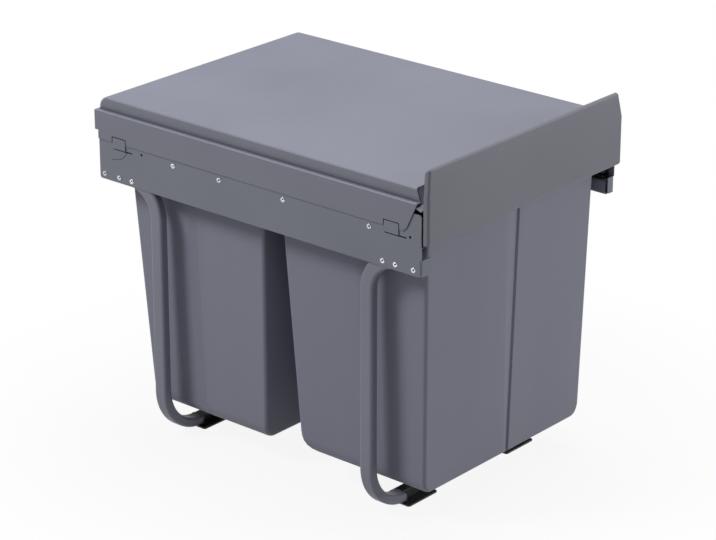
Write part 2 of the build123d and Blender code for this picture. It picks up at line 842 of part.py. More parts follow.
def channel_form(place, shift):
    """The channels of one bin as solids to cut away, moved in by a distance."""
    half_floor = bin_floor_half - shift
    half_rim = bin_rim_half - shift
    with BuildPart() as cuts:
        for z, wall_y, places in (
            (bin_floors[place], bin_ends(place, "floor")[0] + shift, face_channel_floor),
            (shelf_top, bin_ends(place, "rim")[0] + shift, face_channel_rim),
        ):
            left, deep, right = places
            with BuildSketch(Plane.XY.offset(z)):
                with BuildLine():
                    Polyline(
                        (left, wall_y - cut_over),
                        (left, wall_y),
                        (deep, wall_y + channel_depth),
                        (right, wall_y),
                        (right, wall_y - cut_over),
                        close=True,
                    )
                make_face()
        loft(ruled=True)
        for side in (-1, 1):
            for z, half, runs in (
                (bin_floors[place], half_floor, side_channel_runs[place]["floor"]),
                (shelf_top, half_rim, side_channel_runs[place]["rim"]),
            ):
                soft, deep, sharp = [inwards(place, run) for run in runs]
                with BuildSketch(Plane.XY.offset(z)):
                    with BuildLine():
                        Polyline(
                            (side * (half + cut_over), soft),
                            (side * half, soft),
                            (side * (half - channel_depth), deep),
                            (side * half, sharp),
                            (side * (half + cut_over), sharp),
                            close=True,
                        )
                    make_face()
            loft(ruled=True)
    return cuts.part


def bucket(place):
    with BuildPart() as space:
        add(bin_form(place, bin_wall, rim_top + cut_over))
        add(channel_form(place, bin_wall), mode=Mode.SUBTRACT)
    rim_front, rim_rear = bin_ends(place, "rim")
    front = rim_front - bin_rim_end
    rear = rim_rear + bin_rim_end
    rim_size = (2 * (bin_rim_half + bin_rim_side), rear - front)
    with BuildPart() as body:
        add(bin_form(place, 0, shelf_top))
        add(channel_form(place, 0), mode=Mode.SUBTRACT)
        with BuildSketch(Plane.XY.offset(shelf_top)):
            with Locations((0, (front + rear) / 2)):
                RectangleRounded(*rim_size, bin_rim_corner)
        extrude(amount=bin_rim_sheet)
        with BuildSketch(Plane.XY.offset(shelf_top)):
            with Locations((0, (front + rear) / 2)):
                RectangleRounded(*rim_size, bin_rim_corner)
                inner_size = [size - 2 * bin_lip_sheet for size in rim_size]
                RectangleRounded(*inner_size, bin_rim_corner - bin_lip_sheet, mode=Mode.SUBTRACT)
        extrude(amount=bin_rim_lip)
        add(space.part, mode=Mode.SUBTRACT)
    return body.part


save(side_panel(front_flange_widths["left"]), "left_side_panel")
save(mirror(side_panel(front_flange_widths["right"]), about=Plane.YZ), "right_side_panel")
save(lid(), "lid")
for place in ("front", "rear"):
    save_pair(tube_leg(place), f"{place}_leg")
    save_pair(foot(place), f"{place}_foot")
    save(bucket(place), f"{place}_bin")

tube_rivet_row = (*tube_rivet_places["front"], *tube_rivet_places["rear"])
save_both(rivet_set(tube_rivet_row, leg_rivet_height, sheet + tube_wall, rivet_tail), "leg_rivets")
save_both(rivet_set(slide_rivet_places, slide_centre, sheet + slide_sheet, 0), "slide_rivets")

outer_race = (outer_race_depth, outer_ball_height, outer_ball_radius)
inner_race = (inner_race_depth, inner_ball_height, inner_ball_radius)
save_pair(outer_member(), "slide_outer_member")
save_pair(
    slide_member(middle_depth, middle_reach, middle_half, slide_lip, member_rear),
    "slide_middle_member",
)
save_pair(inner_member(), "slide_inner_member")
save_pair(
    ball_cage(outer_cage_depth, outer_race_depth, outer_cage_edge, *outer_race[1:]), "outer_ball_cage"
)
save_pair(
    ball_cage(inner_cage_depth, inner_race_depth, inner_cage_edge, *inner_race[1:]), "inner_ball_cage"
)
save_pair(balls(*outer_race), "outer_balls")
save_pair(balls(*inner_race), "inner_balls")
save_pair(bumper(), "slide_bumper")

save_pair(carrier_rail(), "carrier_rail")
save_both(carrier_rivets(), "carrier_rivets")
save(front_cross_member(), "front_cross_member")
save(rear_cross_member(), "rear_cross_member")
save(divider_bar(), "divider_bar")
save(front_panel(), "front_panel")
save(panel_nuts(), "panel_nuts")
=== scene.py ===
# %% [markdown]
# # A pull-out bin unit
#
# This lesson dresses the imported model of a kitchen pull-out bin: a steel frame with a fixed
# lid, a drawer with an upright front panel, and two plastic bins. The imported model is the
# fixed frame of the lesson: it gives every piece its place and its motion, and is only
# looked at, never moved. Blender counts in metres, in the model's own frame. The small
# lengths are typed in millimetres, as on a workshop drawing, and multiplied by MM.

# %% Load the frame
import json
import math
import bmesh
import bpy
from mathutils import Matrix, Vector


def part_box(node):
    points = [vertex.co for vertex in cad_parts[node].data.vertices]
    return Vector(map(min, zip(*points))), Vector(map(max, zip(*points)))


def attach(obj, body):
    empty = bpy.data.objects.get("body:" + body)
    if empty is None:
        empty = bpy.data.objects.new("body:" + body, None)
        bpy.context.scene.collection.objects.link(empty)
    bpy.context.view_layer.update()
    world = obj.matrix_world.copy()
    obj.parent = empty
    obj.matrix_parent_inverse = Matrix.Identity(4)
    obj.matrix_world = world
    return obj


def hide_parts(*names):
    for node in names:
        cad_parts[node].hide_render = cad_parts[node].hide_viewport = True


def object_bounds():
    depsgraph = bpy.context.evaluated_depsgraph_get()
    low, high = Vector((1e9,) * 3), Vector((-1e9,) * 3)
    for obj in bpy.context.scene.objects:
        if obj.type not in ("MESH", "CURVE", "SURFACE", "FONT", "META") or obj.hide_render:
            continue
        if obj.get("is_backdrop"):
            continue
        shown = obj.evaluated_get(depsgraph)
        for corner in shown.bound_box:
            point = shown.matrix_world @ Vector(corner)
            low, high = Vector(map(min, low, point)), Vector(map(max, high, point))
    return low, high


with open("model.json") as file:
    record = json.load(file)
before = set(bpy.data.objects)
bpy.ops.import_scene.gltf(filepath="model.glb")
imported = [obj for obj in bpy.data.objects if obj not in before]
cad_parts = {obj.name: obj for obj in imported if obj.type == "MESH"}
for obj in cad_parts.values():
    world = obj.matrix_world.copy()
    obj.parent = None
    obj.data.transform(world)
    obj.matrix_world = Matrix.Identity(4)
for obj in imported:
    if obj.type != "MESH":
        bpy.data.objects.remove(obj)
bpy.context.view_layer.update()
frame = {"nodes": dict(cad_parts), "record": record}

nodes = frame["nodes"]
MM = 0.001

# %% [markdown]
# ## Camera
#
# The camera's place was worked out by fitting the frame's straight edges to the photograph.
# It could be nudged by eye, but a fit keeps every later comparison honest: a difference in
# the picture is then a difference in the object. It is a long lens, three metres away, so
# the object's parallel edges stay nearly parallel.

# %% Camera
camera_place = (-2.2448, -1.9151, 1.3895)
camera_turn = (68.06, -0.046, -49.542)
camera_lens = 141.16
camera_sensor = 36.0

camera_data = bpy.data.cameras.new("camera")
camera_data.lens = camera_lens
camera_data.sensor_width = camera_sensor
camera = bpy.data.objects.new("camera", camera_data)
camera.location = camera_place
camera.rotation_euler = [math.radians(angle) for angle in camera_turn]
bpy.context.scene.collection.objects.link(camera)
bpy.context.scene.camera = camera
print("camera", tuple(round(v, 3) for v in camera.location))

# %% [markdown]
# ## Lamps and sky
#
# The photograph is a cut-out product shot on white. Three soft lamps give its shading: one
# above, one behind on the left for the long side, and one far round to the right that
# lights the front panel, while the bins keep it off the left legs. A single large lamp
# would be simpler, but the tubes' dark front faces would be lost. A weak white sky fills
# the folds. The camera sees plain white behind the object, also through anything clear, but
# the gloss of the paint is given only the weak sky, so that white does not wash it out.

# %% Lamps and world
lamp_target = Vector((0, 0, 0.22))
plain_white = (1.0, 1.0, 1.0, 1.0)

# Each lamp's place and width in metres, and its power in watts
lamps = {
    "top softbox": ((0.45, 0.1, 2.6), 1.3, 34.0),
    "rear left softbox": ((-1.8, 1.2, 2.2), 0.8, 32.0),
    "front right softbox": ((2.0, -2.2, 1.0), 1.2, 26.0),
}
for lamp_name, (place, width, power) in lamps.items():
    lamp_data = bpy.data.lights.new(lamp_name, "AREA")
    lamp_data.shape = "SQUARE"
    lamp_data.size = width
    lamp_data.energy = power
    lamp = bpy.data.objects.new(lamp_name, lamp_data)
    lamp.location = place
    lamp.rotation_euler = (lamp_target - Vector(place)).to_track_quat("-Z", "Y").to_euler()
    bpy.context.scene.collection.objects.link(lamp)

world_light = 0.15
world = bpy.data.worlds.new("studio")
bpy.context.scene.world = world
world.use_nodes = True
sky = world.node_tree
sky.nodes["Background"].inputs["Color"].default_value = plain_white
sky.nodes["Background"].inputs["Strength"].default_value = world_light
paper = sky.nodes.new("ShaderNodeBackground")
paper.inputs["Color"].default_value = plain_white
ray = sky.nodes.new("ShaderNodeLightPath")
seen = sky.nodes.new("ShaderNodeMath")
seen.operation = "MAXIMUM"
chosen = sky.nodes.new("ShaderNodeMixShader")
sky.links.new(ray.outputs["Is Camera Ray"], seen.inputs[0])
sky.links.new(ray.outputs["Is Transmission Ray"], seen.inputs[1])
sky.links.new(seen.outputs[0], chosen.inputs["Fac"])
sky.links.new(sky.nodes["Background"].outputs[0], chosen.inputs[1])
sky.links.new(paper.outputs[0], chosen.inputs[2])
sky.links.new(chosen.outputs[0], sky.nodes["World Output"].inputs["Surface"])
bpy.context.scene.view_settings.view_transform = "Standard"
print("lamps", len(lamps), "world", world_light)

# %% [markdown]
# ## A short way to write node maths
#
# A procedural finish is a sum of small things: noise for the coat's texture, a mask for the
# scuffs, a product to join them. Drawn as nodes by hand that is a page of links. Here a
# small class wraps one output socket, so that `1 - mask * 0.5` adds the Math nodes by
# itself. Colours are mixed in a Mix node, because a Math node would turn them grey. The
# same class serves materials here and geometry nodes further on.

# %% Wire, Tree and Finish
# A Mix node has its two colours and its mixed colour at these places among its sockets
mix_first, mix_second, mix_result = 6, 7, 2
# Painted shade in folds: rays that measure how open a spot is, and the range that darkens
fold_shade_samples = 8
fold_shade_range = (0.16, 0.62)


class Wire:
    """One output socket, with arithmetic that adds Math nodes."""

    def __init__(self, owner, socket):
        self.owner = owner
        self.socket = socket

    def maths(self, operation, *values):
        sockets = dict(enumerate(values))
        return self.owner.node("ShaderNodeMath", {"operation": operation}, sockets)

    def __add__(self, other):
        return self.maths("ADD", self, other)

    def __sub__(self, other):
        return self.maths("SUBTRACT", self, other)

    def __rsub__(self, other):
        return self.maths("SUBTRACT", other, self)

    def __mul__(self, other):
        return self.maths("MULTIPLY", self, other)

    __radd__ = __add__
    __rmul__ = __mul__

    def ramp(self, low, high):
        """0 below one value, 1 above the other, and smooth between them."""
        settings = {"interpolation_type": "SMOOTHSTEP"}
        sockets = {"Value": self, "From Min": low, "From Max": high}
        return self.owner.node("ShaderNodeMapRange", settings, sockets)


class Tree:
    """A node tree whose nodes are made by one method."""

    def __init__(self, tree):
        self.tree = tree

    def node(self, kind, settings, sockets, output=0):
        made = self.tree.nodes.new(kind)
        for key, value in settings.items():
            setattr(made, key, value)
        for key, value in sockets.items():
            self.feed(made.inputs[key], value)
        return Wire(self, made.outputs[output])

    def feed(self, socket, value):
        if isinstance(value, Wire):
            self.tree.links.new(value.socket, socket)
        else:
            socket.default_value = value


class Finish(Tree):
    """A material and its Principled shader."""

    def __init__(self, name):
        self.material = bpy.data.materials.new(name)
        self.material.use_nodes = True
        super().__init__(self.material.node_tree)
        self.shader = self.tree.nodes["Principled BSDF"]

    def set(self, **values):
        for key, value in values.items():
            self.feed(self.shader.inputs[key.replace("_", " ")], value)

    def place(self, stretch):
        spot = self.node("ShaderNodeTexCoord", {}, {}, "Object")
        return self.node("ShaderNodeMapping", {}, {"Vector": spot, "Scale": stretch})

    def noise(self, per_metre, detail=2.0, rough=0.5, stretch=(1, 1, 1)):
        sockets = {"Vector": self.place(stretch), "Scale": per_metre}
        sockets |= {"Detail": detail, "Roughness": rough}
        return self.node("ShaderNodeTexNoise", {}, sockets, "Fac")

    def mix(self, share, first, second):
        sockets = {"Factor": share, mix_first: first, mix_second: second}
        return self.node("ShaderNodeMix", {"data_type": "RGBA"}, sockets, mix_result)

    def fold_shade(self, reach):
        """Painted shade: 0 in the open and 1 where other surfaces come within reach."""
        sockets = {"Distance": reach * MM}
        settings = {"samples": fold_shade_samples}
        opened = self.node("ShaderNodeAmbientOcclusion", settings, sockets, "AO")
        return (1 - opened).ramp(*fold_shade_range)

    def bump(self, height, depth, strength):
        sockets = {"Height": height, "Distance": depth, "Strength": strength}
        self.feed(self.shader.inputs["Normal"], self.node("ShaderNodeBump", {}, sockets))


def linear(red, green, blue):
    """A colour as it reads on screen, from 0 to 255, as linear light."""
    low_limit, low_slope, lift, curve, full = 0.04045, 12.92, 0.055, 2.4, 255
    out = []
    for part in (red, green, blue):
        share = part / full
        dark = share / low_slope
        out.append(dark if share <= low_limit else ((share + lift) / (1 + lift)) ** curve)
    return (*out, 1.0)


def tint(colour, share):
    """The same colour, darker below a share of 1 and paler above it."""
    return (*(min(1.0, part * share) for part in colour[:3]), 1.0)


finishes = {}
print("grey paint in linear light", [round(v, 3) for v in linear(120, 121, 131)[:3]])

# %% [markdown]
# ## Floor
#
# The floor is a stage and not part of the object. The camera and the reflections see it
# white, with a faint shadow near the object and plain white further out, so no horizon
# shows. The light that it sends back up is that of a grey floor, because a white one lights
# the undersides more than the photograph does. A curved backdrop would need more to build.

# %% Floor
floor_half = 12.0
shadow_reach = (0.3, 0.62)
shadow_strength = 0.1
bounce_grey = (0.32, 0.32, 0.33, 1.0)
seen_white = linear(246, 246, 248)
floor_roughness = 0.9

floor_mesh = bpy.data.meshes.new("floor")
corners = [(-floor_half, -floor_half, 0), (floor_half, -floor_half, 0)]
corners += [(floor_half, floor_half, 0), (-floor_half, floor_half, 0)]
floor_mesh.from_pydata(corners, [], [(0, 1, 2, 3)])
floor = bpy.data.objects.new("floor", floor_mesh)
bpy.context.scene.collection.objects.link(floor)
paper_floor = Finish("floor_paper")
paper_floor.set(Roughness=floor_roughness)
spot = paper_floor.node("ShaderNodeTexCoord", {}, {}, "Object")
away = paper_floor.node("ShaderNodeVectorMath", {"operation": "LENGTH"}, {0: spot}, "Value")
straight = paper_floor.node("ShaderNodeLightPath", {}, {}, "Is Camera Ray")
mirrored = paper_floor.node("ShaderNodeLightPath", {}, {}, "Is Glossy Ray")
seen_by = straight.maths("MAXIMUM", straight, mirrored)
far = away.ramp(*shadow_reach)
glow_share = seen_by * (1 - shadow_strength * (1 - far))
paper_floor.set(Base_Color=paper_floor.mix(seen_by, bounce_grey, seen_white))
glow = paper_floor.node("ShaderNodeEmission", {}, {"Strength": 1.0})
matt = Wire(paper_floor, paper_floor.shader.outputs[0])
surface = paper_floor.node("ShaderNodeMixShader", {}, {"Fac": glow_share, 1: matt, 2: glow})
paper_floor.feed(paper_floor.tree.nodes["Material Output"].inputs["Surface"], surface)
floor_mesh.materials.append(paper_floor.material)
floor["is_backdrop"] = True
print("floor", 2 * floor_half, "m wide")

# %% [markdown]
# ## Powder coat
#
# The lid, the panels and the legs are sheet and tube with a grey powder coat. Powder melts
# and flows in the oven, and it leaves a faint orange peel a few millimetres across, with a
# satin gloss. The colour is nearly even: a slow drift across the piece, and a fine grain.
# A sprayed-paint look with streaks would be wrong, so the noise has no direction. In
# folds and joints, where two surfaces come close, painted shade darkens the coat a little.
# That is told from how open each spot is, which paints every seam by one rule.

# %% Powder coat finishes
drift_per_metre, grain_per_metre, peel_per_metre, dust_per_metre = 5.0, 1400.0, 520.0, 38.0
drift_share, grain_share = 0.6, 0.4
body_range, dust_range = (0.3, 0.7), (0.56, 0.78)
# The fold tint and fold cover darken folds and joints as painted shade
deep_tint, pale_tint, chalk_tint, fold_shade_tint = 0.93, 1.08, 1.16, 0.25
dust_cover, fold_shade_cover = 0.22, 0.8
peel_roughness, dust_roughness, coat_specular = 0.10, 0.12, 0.45
peel_height, grain_height, coat_depth, coat_bump = 0.8, 0.2, 0.06, 0.55


def powder_coat(name, colour, gloss=0.42, reach=5.0):
    """A grey coat with painted shade where other surfaces come within reach, in millimetres."""
    coat = Finish(name)
    drift = coat.noise(drift_per_metre)
    grain = coat.noise(grain_per_metre, detail=1.0)
    peel = coat.noise(peel_per_metre, rough=0.55)
    dust = coat.noise(dust_per_metre, detail=6.0, rough=0.7).ramp(*dust_range)
    tone = (drift * drift_share + grain * grain_share).ramp(*body_range)
    body = coat.mix(tone, tint(colour, deep_tint), tint(colour, pale_tint))
    body = coat.mix(dust * dust_cover, body, tint(colour, chalk_tint))
    # Painted shade: the colour goes darker where other surfaces come close
    shaded = coat.mix(coat.fold_shade(reach) * fold_shade_cover, body, tint(colour, fold_shade_tint))
    roughness = gloss + peel_roughness * peel + dust_roughness * dust
    coat.set(Base_Color=shaded, Roughness=roughness, Specular_IOR_Level=coat_specular)
    coat.bump(peel * peel_height + grain * grain_height, coat_depth * MM, coat_bump)
    finishes[name] = coat.material


# The lid's painted shade reaches further, so its front wall behind the panel goes dark
powder_coat("lid_paint", linear(146, 148, 162), reach=14.0)
powder_coat("panel_paint", linear(142, 142, 154))
powder_coat("frame_paint", linear(145, 148, 160))
powder_coat("leg_paint", linear(151, 153, 168), gloss=0.38)
print("powder coats", sorted(finishes))

# %% [markdown]
# ## Moulded plastic
#
# The bins are injection moulded polypropylene. Their mould is spark eroded, which prints a
# fine even grain on the wall, and the melt leaves faint upright flow marks. The surface is
# a little softer in gloss than the paint. A few pale rubs stand for handling.

# %% Bin plastic
flow_per_metre, spark_per_metre, rub_per_metre = 9.0, 1100.0, 26.0
flow_stretch, rub_stretch = (1, 1, 0.12), (1, 1, 0.45)
flow_range, rub_range = (0.25, 0.75), (0.6, 0.8)
plastic_deep, plastic_pale = linear(151, 153, 170), linear(156, 158, 174)
rub_grey = linear(176, 177, 188)
rub_cover, spark_cover = 0.18, 0.06
plastic_gloss, spark_roughness, rub_roughness, plastic_specular = 0.5, 0.1, 0.08, 0.42
spark_depth, spark_bump = 0.07, 0.5

plastic = Finish("bin_plastic")
flow = plastic.noise(flow_per_metre, detail=3.0, stretch=flow_stretch)
spark = plastic.noise(spark_per_metre, rough=0.6)
rub = plastic.noise(rub_per_metre, detail=8.0, rough=0.72, stretch=rub_stretch).ramp(*rub_range)
body = plastic.mix(flow.ramp(*flow_range), plastic_deep, plastic_pale)
plastic.set(Base_Color=plastic.mix(rub * rub_cover + spark * spark_cover, body, rub_grey))
plastic.set(Roughness=plastic_gloss + spark_roughness * spark + rub_roughness * rub)
plastic.set(Specular_IOR_Level=plastic_specular)
plastic.bump(spark, spark_depth * MM, spark_bump)
finishes["bin_plastic"] = plastic.material
print("bin plastic made")

# %% [markdown]
# ## Dark and bright metals, and rubber
#
# The feet, the drawer's carrier and the slides are black: a semi-gloss coat on the feet, and
# a thin electrocoat on the carrier and on the slides, whose film of oil makes them glossier.
# The cages are rolled zinc-plated strip, the balls are polished, and the rivets are drawn
# aluminium with fine turning marks and a dark bore, whose grey is painted shade in the bore
# and the broken mandrel's own dark. Each is one metal or coat with its own noise, so two
# functions make them all. A photographed texture would repeat and tie the scene to a file.

# %% Metals and rubber
wear_per_metre, wear_range, wear_tint = 60.0, (0.58, 0.8), 2.1
wear_cover, grain_cover = 0.4, 0.15
grain_roughness, wear_roughness = 0.12, 0.1
black_depth, black_bump = 0.05, 0.5
tarnish_per_metre, tarnish_range, dull_tint = 45.0, (0.35, 0.75), 0.72
line_roughness, tarnish_roughness, bore_roughness = 0.14, 0.08, 0.4
line_depth, line_bump = 0.03, 0.4
bore_shade_and_mandrel_grey = linear(34, 34, 38)


def black_coat(name, colour, gloss, per_metre):
    """A thin black coat, a little greyer where it has worn."""
    coat = Finish(name)
    grain = coat.noise(per_metre, detail=3.0, rough=0.6)
    wear = coat.noise(wear_per_metre, detail=7.0, rough=0.7).ramp(*wear_range)
    worn = wear * wear_cover + grain * grain_cover
    coat.set(Base_Color=coat.mix(worn, colour, tint(colour, wear_tint)))
    coat.set(Roughness=gloss + grain_roughness * grain + wear_roughness * wear)
    coat.bump(grain, black_depth * MM, black_bump)
    finishes[name] = coat.material


def bare_metal(name, colour, gloss, stretch, per_metre):
    """Metal with fine lines and dull patches, and dark where a mesh says that it is a bore:
    painted shade in the bore and the mandrel's own dark.
    """
    metal = Finish(name)
    lines = metal.noise(per_metre, detail=3.0, rough=0.6, stretch=stretch)
    tarnish = metal.noise(tarnish_per_metre, detail=5.0, rough=0.65)
    surface = metal.mix(tarnish.ramp(*tarnish_range), colour, tint(colour, dull_tint))
    bore = metal.node("ShaderNodeAttribute", {"attribute_name": "bore"}, {}, "Fac")
    roughness = gloss + line_roughness * lines + tarnish_roughness * tarnish
    # The bore's dark grey is painted shade deep in the bore, and the mandrel's own dark
    metal.set(Base_Color=metal.mix(bore, surface, bore_shade_and_mandrel_grey))
    metal.set(Metallic=1.0, Roughness=roughness + bore_roughness * bore)
    metal.bump(lines, line_depth * MM, line_bump)
    finishes[name] = metal.material


black_coat("foot_black", linear(42, 42, 46), gloss=0.34, per_metre=700.0)
black_coat("slide_black", linear(34, 34, 38), gloss=0.3, per_metre=900.0)
black_coat("carrier_paint", linear(38, 38, 43), gloss=0.36, per_metre=800.0)
strip, steel, bright = linear(190, 191, 194), linear(222, 223, 226), linear(236, 237, 241)
bare_metal("cage_steel", strip, gloss=0.28, stretch=(1, 0.05, 1), per_metre=600.0)
bare_metal("ball_steel", steel, gloss=0.08, stretch=(1, 1, 1), per_metre=900.0)
bare_metal("rivet_metal", bright, gloss=0.2, stretch=(0.4, 1, 1), per_metre=1500.0)

crumb_per_metre, bloom_per_metre, bloom_range = 900.0, 70.0, (0.4, 0.8)
rubber_black, rubber_bloom = linear(36, 36, 38), linear(58, 58, 61)
rubber_gloss, crumb_roughness, crumb_depth, crumb_bump = 0.72, 0.15, 0.08, 0.5

rubber = Finish("rubber")
crumb = rubber.noise(crumb_per_metre, detail=4.0, rough=0.65)
bloom = rubber.noise(bloom_per_metre, detail=4.0)
rubber.set(Base_Color=rubber.mix(bloom.ramp(*bloom_range), rubber_black, rubber_bloom))
rubber.set(Roughness=rubber_gloss + crumb_roughness * crumb)
rubber.bump(crumb, crumb_depth * MM, crumb_bump)
finishes["rubber"] = rubber.material
print("finishes", len(finishes))

# %% [markdown]
# ## Where each piece belongs
#
# Every visible piece rides on one body of the mechanism, so that it moves with the drawer,
# a slide member or the fixed frame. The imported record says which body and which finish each
# node has, so both are read from it once and never typed again.

# %% Bodies, finishes and a mesh maker
edge_segments = 2
sharp_angle = 32.0
record = frame["record"]
slot_of = {part["node"]: part["material_slot"] for part in record["subparts"]}
body_of = {node: body for body, group in record["behaviour"]["bodies"].items() for node in group}


def new_piece(name, vertices, faces):
    """A mesh object at the origin, from points in millimetres."""
    mesh = bpy.data.meshes.new(name)
    mesh.from_pydata([[part * MM for part in point] for point in vertices], [], faces)
    piece = bpy.data.objects.new(name, mesh)
    bpy.context.scene.collection.objects.link(piece)
    return piece


def stand_for(piece, *replaced):
    """Gives a finished piece the finish, body and place of the nodes that it replaces."""
    slot = slot_of[replaced[0]]
    piece.data.materials.clear()
    piece.data.materials.append(finishes[slot])
    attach(piece, body_of[replaced[0]])
    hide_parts(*replaced)


def soften(piece, width):
    """A small bevel on the sharp edges, with the flat faces kept flat."""
    piece.data.polygons.foreach_set("use_smooth", [True] * len(piece.data.polygons))
    bevel = piece.modifiers.new("edge", "BEVEL")
    bevel.width = width * MM
    bevel.segments = edge_segments
    bevel.limit_method = "ANGLE"
    bevel.angle_limit = math.radians(sharp_angle)
    bevel.miter_outer = "MITER_ARC"
    flat = piece.modifiers.new("flat faces", "WEIGHTED_NORMAL")
    flat.keep_sharp = True


# %% [markdown]
# ## Folded, rolled and moulded pieces
#
# The lid and the panels are cut flat, punched and folded, the slides are rolled, and the
# bins are moulded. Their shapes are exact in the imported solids, but a solid's edge is as
# sharp as a razor and catches no light. A copy of its mesh is merged into whole faces, and
# each edge gets a small bevel, as a sheared or moulded edge has. Modelling them afresh
# would only repeat the numbers.

# %% Finished copies
sheet_edge = 0.28
weld_distance = 0.002
flat_angle = 0.4


def finished_copy(node):
    """A node's mesh with its triangles merged into whole faces and its edges softened."""
    mesh = nodes[node].data.copy()
    shape = bmesh.new()
    shape.from_mesh(mesh)
    bmesh.ops.remove_doubles(shape, verts=shape.verts, dist=weld_distance * MM)
    limit = math.radians(flat_angle)
    bmesh.ops.dissolve_limit(
        shape,
        angle_limit=limit,
        verts=shape.verts,
        edges=shape.edges,
        use_dissolve_boundaries=False,
    )
    shape.to_mesh(mesh)
    shape.free()
    piece = bpy.data.objects.new(f"{node}_finished", mesh)
    bpy.context.scene.collection.objects.link(piece)
    soften(piece, sheet_edge)
    stand_for(piece, node)


copied = ["lid", "front_panel", "front_cross_member", "rear_cross_member", "divider_bar"]
copied += ["front_bin", "rear_bin", "panel_nuts", "carrier_rivets"]
for side in ("left", "right"):
    copied += [f"{side}_side_panel", f"{side}_carrier_rail", f"{side}_slide_bumper"]
    copied += [f"{side}_front_foot", f"{side}_rear_foot"]
    copied += [f"{side}_slide_{part}_member" for part in ("outer", "middle", "inner")]
for node in copied:
    finished_copy(node)
print("finished copies", len(copied))

# %% [markdown]
# ## Geometry nodes that leave a plain mesh
#
# The legs follow a path and the rivets repeat, which is what geometry nodes are for. A plan
# is one node tree with named lengths. It runs once on a piece's own mesh, here the corner
# points of a route or the places of a row, and the result is stored as a plain mesh, so
# that nothing of the tree is needed later. Modelling each bend by hand would give the same
# shape, and none of the ease of changing it.

# %% Plan
plan_weld = 0.001


class Plan(Tree):
    """A geometry node tree with named lengths in metres."""

    def __init__(self, name):
        super().__init__(bpy.data.node_groups.new(name, "GeometryNodeTree"))
        self.tree.interface.new_socket("Mesh", in_out="INPUT", socket_type="NodeSocketGeometry")
        self.tree.interface.new_socket("Mesh", in_out="OUTPUT", socket_type="NodeSocketGeometry")
        self.start = self.tree.nodes.new("NodeGroupInput")
        self.end = self.tree.nodes.new("NodeGroupOutput")
        self.names = {}
        self.given = Wire(self, self.start.outputs["Mesh"])

    def length(self, name):
        item = self.tree.interface.new_socket(name, in_out="INPUT", socket_type="NodeSocketFloat")
        self.names[name] = item.identifier
        return Wire(self, self.start.outputs[name])

    def place_of(self, axis):
        place = self.node("GeometryNodeInputPosition", {}, {})
        return self.node("ShaderNodeSeparateXYZ", {}, {0: place}, axis)

    def either(self, test, when_true, when_false):
        sockets = {"Switch": test, "False": when_false, "True": when_true}
        return self.node("GeometryNodeSwitch", {"input_type": "FLOAT"}, sockets)

    def ends_in(self, shape, slot):
        real = self.node("GeometryNodeRealizeInstances", {}, {0: shape})
        sockets = {"Geometry": real, "Material": finishes[slot]}
        self.feed(self.end.inputs["Mesh"], self.node("GeometryNodeSetMaterial", {}, sockets))

    def run(self, piece, lengths):
        """Runs on a piece with lengths in millimetres, and leaves a plain mesh."""
        modifier = piece.modifiers.new("plan", "NODES")
        modifier.node_group = self.tree
        for name, value in lengths.items():
            modifier[self.names[name]] = value * MM
        evaluated = piece.evaluated_get(bpy.context.evaluated_depsgraph_get())
        mesh = bpy.data.meshes.new_from_object(evaluated)
        piece.modifiers.clear()
        shape = bmesh.new()
        shape.from_mesh(mesh)
        bmesh.ops.remove_doubles(shape, verts=shape.verts, dist=plan_weld * MM)
        bmesh.ops.recalc_face_normals(shape, faces=shape.faces)
        shape.to_mesh(mesh)
        shape.free()
        piece.data = mesh


print("plan ready")

# %% [markdown]
# ## Tube legs
#
# Each leg is one length of flat-sided steel tube, bent twice on a tube bender: once in the
# plane of its panel at the top, and once inwards above the floor. The route is the four
# corner points of that tube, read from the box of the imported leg. The plan rounds the two
# inner corners with the bender's radii, sweeps the tube's rounded section along it, and the
# wall is added inwards. The foot's bend is 0.6 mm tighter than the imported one, so that the
# tube ends in a short straight piece and is cut off square. A sweep keeps the section true
# through both bends, which a chain of boxes and cylinders would not.

# %% Legs by a plan
tube_wide, tube_thick, tube_corner, tube_wall = 17.0, 11.5, 3.2, 1.2
bend_radii = {"Top bend": 40.0, "Foot bend": 54.4}
bend_steps, corner_steps = 22, 5
leg_edge = 0.25
leg_route = [0, 1, 1, 2, 2, 3]

bent_tube = Plan("bent_tube")
route = bent_tube.node("GeometryNodeMeshToCurve", {}, {0: bent_tube.given})
middle = bent_tube.length("Middle height")
high = bent_tube.node(
    "FunctionNodeCompare", {"operation": "GREATER_THAN"}, {0: bent_tube.place_of("Z"), 1: middle}
)
bend = bent_tube.either(high, bent_tube.length("Top bend"), bent_tube.length("Foot bend"))
rounding = {"Curve": route, "Radius": bend, "Count": bend_steps}
bent = bent_tube.node("GeometryNodeFilletCurve", {"mode": "POLY"}, rounding)
sides = {"Width": bent_tube.length("Thick"), "Height": bent_tube.length("Wide")}
section = bent_tube.node("GeometryNodeCurvePrimitiveQuadrilateral", {"mode": "RECTANGLE"}, sides)
rounding = {"Curve": section, "Radius": bent_tube.length("Corner"), "Count": corner_steps}
section = bent_tube.node("GeometryNodeFilletCurve", {"mode": "POLY"}, rounding)
swept = bent_tube.node("GeometryNodeCurveToMesh", {}, {"Curve": bent, "Profile Curve": section})
bent_tube.ends_in(swept, "leg_paint")

